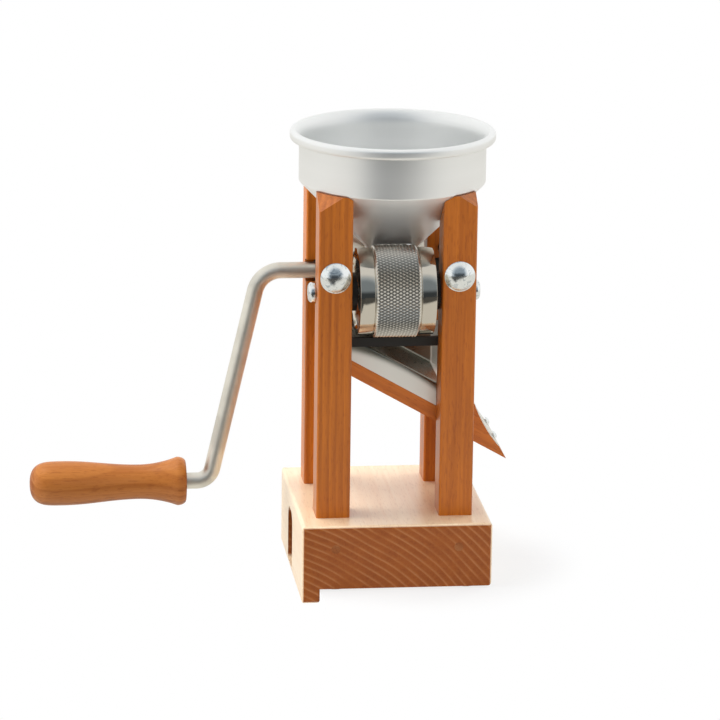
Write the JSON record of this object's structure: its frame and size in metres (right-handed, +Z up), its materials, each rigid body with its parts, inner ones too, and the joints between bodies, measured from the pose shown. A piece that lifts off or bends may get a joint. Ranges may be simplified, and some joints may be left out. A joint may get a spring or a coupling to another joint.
{
  "type": "hand cranked grain flaker",
  "caption": "Hand cranked grain flaker for a table's edge: knurled rollers between beech posts on a block, round metal hopper above, sloping lined chute and a bent crank.",
  "frame": {"origin": "middle of the block on the table top, in the plane of the foot pads' undersides", "axes": "+X along the rollers towards the outlet, away from the crank; +Y towards the back; +Z up"},
  "size_m": [0.3164, 0.142, 0.3057],
  "materials": {
    "base_beech": "planed, oiled beech",
    "post_beech": "planed, oiled beech",
    "grip_beech": "turned, lacquered beech",
    "end_grain": "sanded end grain",
    "roller_steel": "polished",
    "knurl_steel": "knurled",
    "bar_steel": "satin drawn bar",
    "liner_steel": "satin sheet",
    "zinc": "bright zinc plated",
    "spun_aluminium": "satin spun",
    "bush_plastic": "matte",
    "pad_rubber": "matte"
  },
  "bodies": {
    "stand": {"base_block": "base_beech", "foot_pads": "pad_rubber", "front_left_post": "post_beech", "front_right_post": "post_beech", "back_left_post": "post_beech", "back_right_post": "post_beech", "tenon_pegs": "end_grain", "chute_board": "post_beech", "chute_dowels": "end_grain", "chute_liner": "liner_steel", "liner_screws": "zinc", "carriage_bolts": "zinc", "bolt_washers": "zinc", "front_left_bush": "bush_plastic", "front_right_bush": "bush_plastic", "back_left_bush": "bush_plastic", "back_right_bush": "bush_plastic", "roller_wipers": "bush_plastic"},
    "crank": {"crank_bar": "bar_steel", "shaft_cap": "zinc", "rear_roller": "roller_steel", "rear_knurl": "knurl_steel", "grip_ring": "bar_steel"},
    "idler": {"front_axle": "bar_steel", "front_axle_caps": "zinc", "front_roller": "roller_steel", "front_knurl": "knurl_steel"},
    "handle": {"crank_grip": "grip_beech"},
    "funnel": {"hopper": "spun_aluminium"},
    "left_nut": {"left_wing_nut": "zinc"},
    "right_nut": {"right_wing_nut": "zinc"}
  },
  "joints": [
    {"name": "crank_turn", "type": "hinge", "parent": "stand", "child": "crank", "pos_m": [0, 0.0307, 0.194], "axis": [1, 0, 0], "continuous": true},
    {"name": "idler_turn", "type": "hinge", "parent": "stand", "child": "idler", "pos_m": [0, -0.0307, 0.194], "axis": [1, 0, 0], "continuous": true},
    {"name": "handle_spin", "type": "hinge", "parent": "crank", "child": "handle", "pos_m": [-0.18, 0.0307, 0.0476], "axis": [1, 0, 0], "continuous": true},
    {"name": "funnel_lift", "type": "slide", "parent": "stand", "child": "funnel", "axis": [0, 0, 1], "range_m": [0, 0.06]},
    {"name": "left_nut_turn", "type": "hinge", "parent": "stand", "child": "left_nut", "pos_m": [-0.041, 0.0575, 0.2083], "axis": [0, 1, 0], "continuous": true},
    {"name": "right_nut_turn", "type": "hinge", "parent": "stand", "child": "right_nut", "pos_m": [0.041, 0.0575, 0.2083], "axis": [0, 1, 0], "continuous": true}
  ],
  "couplings": [
    {"joint": "idler_turn", "follows": "crank_turn", "ratio": -1}
  ]
}
